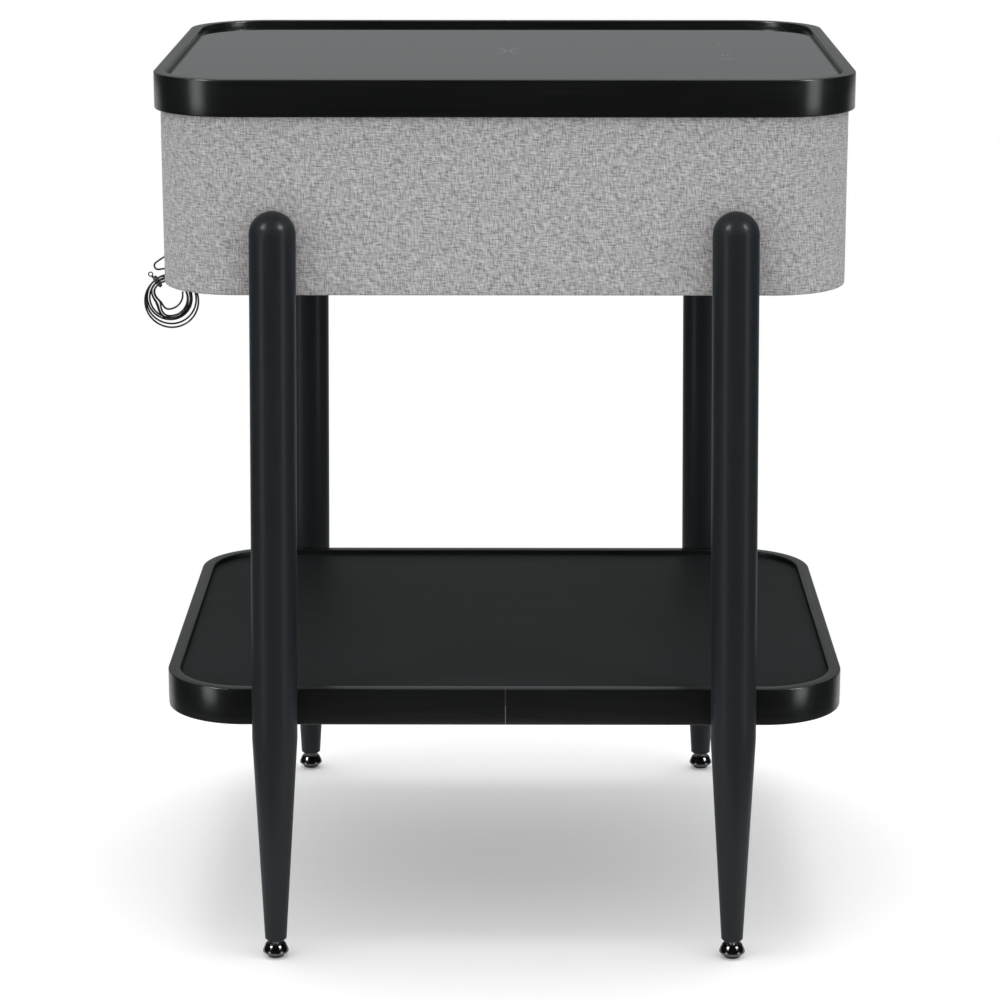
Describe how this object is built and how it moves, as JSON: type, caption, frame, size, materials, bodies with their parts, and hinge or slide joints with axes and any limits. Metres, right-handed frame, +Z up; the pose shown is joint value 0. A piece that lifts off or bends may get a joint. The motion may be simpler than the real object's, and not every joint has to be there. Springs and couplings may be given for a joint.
{
  "type": "side table",
  "caption": "Round-cornered side table with a glass-topped tray, a cloth-covered speaker drum, a lipped shelf and slim tapered legs on levelling feet.",
  "frame": {"origin": "on the floor, under the middle of the table, at the feet's pads", "axes": "+Z up, the longest side; the front faces -Y, the shortest side; +X to the right as the front is seen"},
  "size_m": [0.5199, 0.4616, 0.643],
  "materials": {
    "black_strip": "black-stained bent strip, satin",
    "black_board": "black-stained veneered board, satin",
    "raw_board": "unfinished board",
    "black_glass": "polished, opaque black",
    "grey_cloth": "woven linen look, matt",
    "charcoal_leg": "satin charcoal paint on turned wood",
    "steel": "zinc-plated",
    "dark_chrome": "polished, dark",
    "brass": "as turned",
    "black_plastic": "moulded, matt",
    "wire_sleeve": "thin smooth insulation",
    "circuit_board": "solder mask",
    "copper": "enamelled winding on ferrite",
    "cone_paper": "pressed paper",
    "black_rubber": "soft, matt"
  },
  "bodies": {
    "frame": {"top_rim": "black_strip", "top_panel": "raw_board", "glass_top": "black_glass", "touch_board": "circuit_board", "charging_coil": "copper", "charger_board": "circuit_board", "charger_cover": "black_plastic", "drum_shell": "raw_board", "drum_cloth": "grey_cloth", "drum_floor": "black_board", "left_driver_basket": "steel", "left_driver_surround": "black_rubber", "right_driver_basket": "steel", "right_driver_surround": "black_rubber", "amplifier_board": "circuit_board", "dc_inlet": "black_plastic", "shelf_band": "black_strip", "shelf_panel": "black_board", "aerial_gland": "black_rubber", "aerial_lead": "wire_sleeve", "aerial_coil": "wire_sleeve", "aerial_tie": "black_plastic", "front_left_screw_block": "raw_board", "front_left_leg": "charcoal_leg", "front_left_leg_insert": "brass", "front_left_drum_bolt_lower": "steel", "front_left_drum_bolt_upper": "steel", "front_left_shelf_bolt": "steel", "front_right_screw_block": "raw_board", "front_right_leg": "charcoal_leg", "front_right_leg_insert": "brass", "front_right_drum_bolt_lower": "steel", "front_right_drum_bolt_upper": "steel", "front_right_shelf_bolt": "steel", "back_left_screw_block": "raw_board", "back_left_leg": "charcoal_leg", "back_left_leg_insert": "brass", "back_left_drum_bolt_lower": "steel", "back_left_drum_bolt_upper": "steel", "back_left_shelf_bolt": "steel", "back_right_screw_block": "raw_board", "back_right_leg": "charcoal_leg", "back_right_leg_insert": "brass", "back_right_drum_bolt_lower": "steel", "back_right_drum_bolt_upper": "steel", "back_right_shelf_bolt": "steel"},
    "left_cone": {"left_driver_cone": "cone_paper"},
    "right_cone": {"right_driver_cone": "cone_paper"},
    "front_left_screw": {"front_left_foot_screw": "steel"},
    "front_left_foot": {"front_left_foot_cap": "dark_chrome", "front_left_foot_pad": "black_plastic"},
    "front_right_screw": {"front_right_foot_screw": "steel"},
    "front_right_foot": {"front_right_foot_cap": "dark_chrome", "front_right_foot_pad": "black_plastic"},
    "back_left_screw": {"back_left_foot_screw": "steel"},
    "back_left_foot": {"back_left_foot_cap": "dark_chrome", "back_left_foot_pad": "black_plastic"},
    "back_right_screw": {"back_right_foot_screw": "steel"},
    "back_right_foot": {"back_right_foot_cap": "dark_chrome", "back_right_foot_pad": "black_plastic"}
  },
  "joints": [
    {"name": "front_left_foot_height", "type": "slide", "parent": "frame", "child": "front_left_foot", "axis": [0, 0, -1], "range_m": [-0.0025, 0.008]},
    {"name": "front_left_screw_turn", "type": "hinge", "parent": "front_left_foot", "child": "front_left_screw", "pos_m": [-0.168, -0.217, 0.02], "axis": [0, 0, -1], "range_deg": [-945, 2925]},
    {"name": "front_right_foot_height", "type": "slide", "parent": "frame", "child": "front_right_foot", "axis": [0, 0, -1], "range_m": [-0.0025, 0.008]},
    {"name": "front_right_screw_turn", "type": "hinge", "parent": "front_right_foot", "child": "front_right_screw", "pos_m": [0.168, -0.217, 0.02], "axis": [0, 0, -1], "range_deg": [-945, 2925]},
    {"name": "back_left_foot_height", "type": "slide", "parent": "frame", "child": "back_left_foot", "axis": [0, 0, -1], "range_m": [-0.0025, 0.008]},
    {"name": "back_left_screw_turn", "type": "hinge", "parent": "back_left_foot", "child": "back_left_screw", "pos_m": [-0.168, 0.217, 0.02], "axis": [0, 0, -1], "range_deg": [-945, 2925]},
    {"name": "back_right_foot_height", "type": "slide", "parent": "frame", "child": "back_right_foot", "axis": [0, 0, -1], "range_m": [-0.0025, 0.008]},
    {"name": "back_right_screw_turn", "type": "hinge", "parent": "back_right_foot", "child": "back_right_screw", "pos_m": [0.168, 0.217, 0.02], "axis": [0, 0, -1], "range_deg": [-945, 2925]},
    {"name": "left_cone_travel", "type": "slide", "parent": "frame", "child": "left_cone", "axis": [0, -1, 0], "range_m": [-0.002, 0.002], "stiffness_N_per_m": 600, "deforming": ["left_driver_surround"]},
    {"name": "right_cone_travel", "type": "slide", "parent": "frame", "child": "right_cone", "axis": [0, -1, 0], "range_m": [-0.002, 0.002], "stiffness_N_per_m": 600, "deforming": ["right_driver_surround"]}
  ],
  "couplings": [
    {"joint": "front_left_screw_turn", "follows": "front_left_foot_height", "rad_per_m": 6283.2},
    {"joint": "front_right_screw_turn", "follows": "front_right_foot_height", "rad_per_m": 6283.2},
    {"joint": "back_left_screw_turn", "follows": "back_left_foot_height", "rad_per_m": 6283.2},
    {"joint": "back_right_screw_turn", "follows": "back_right_foot_height", "rad_per_m": 6283.2}
  ]
}
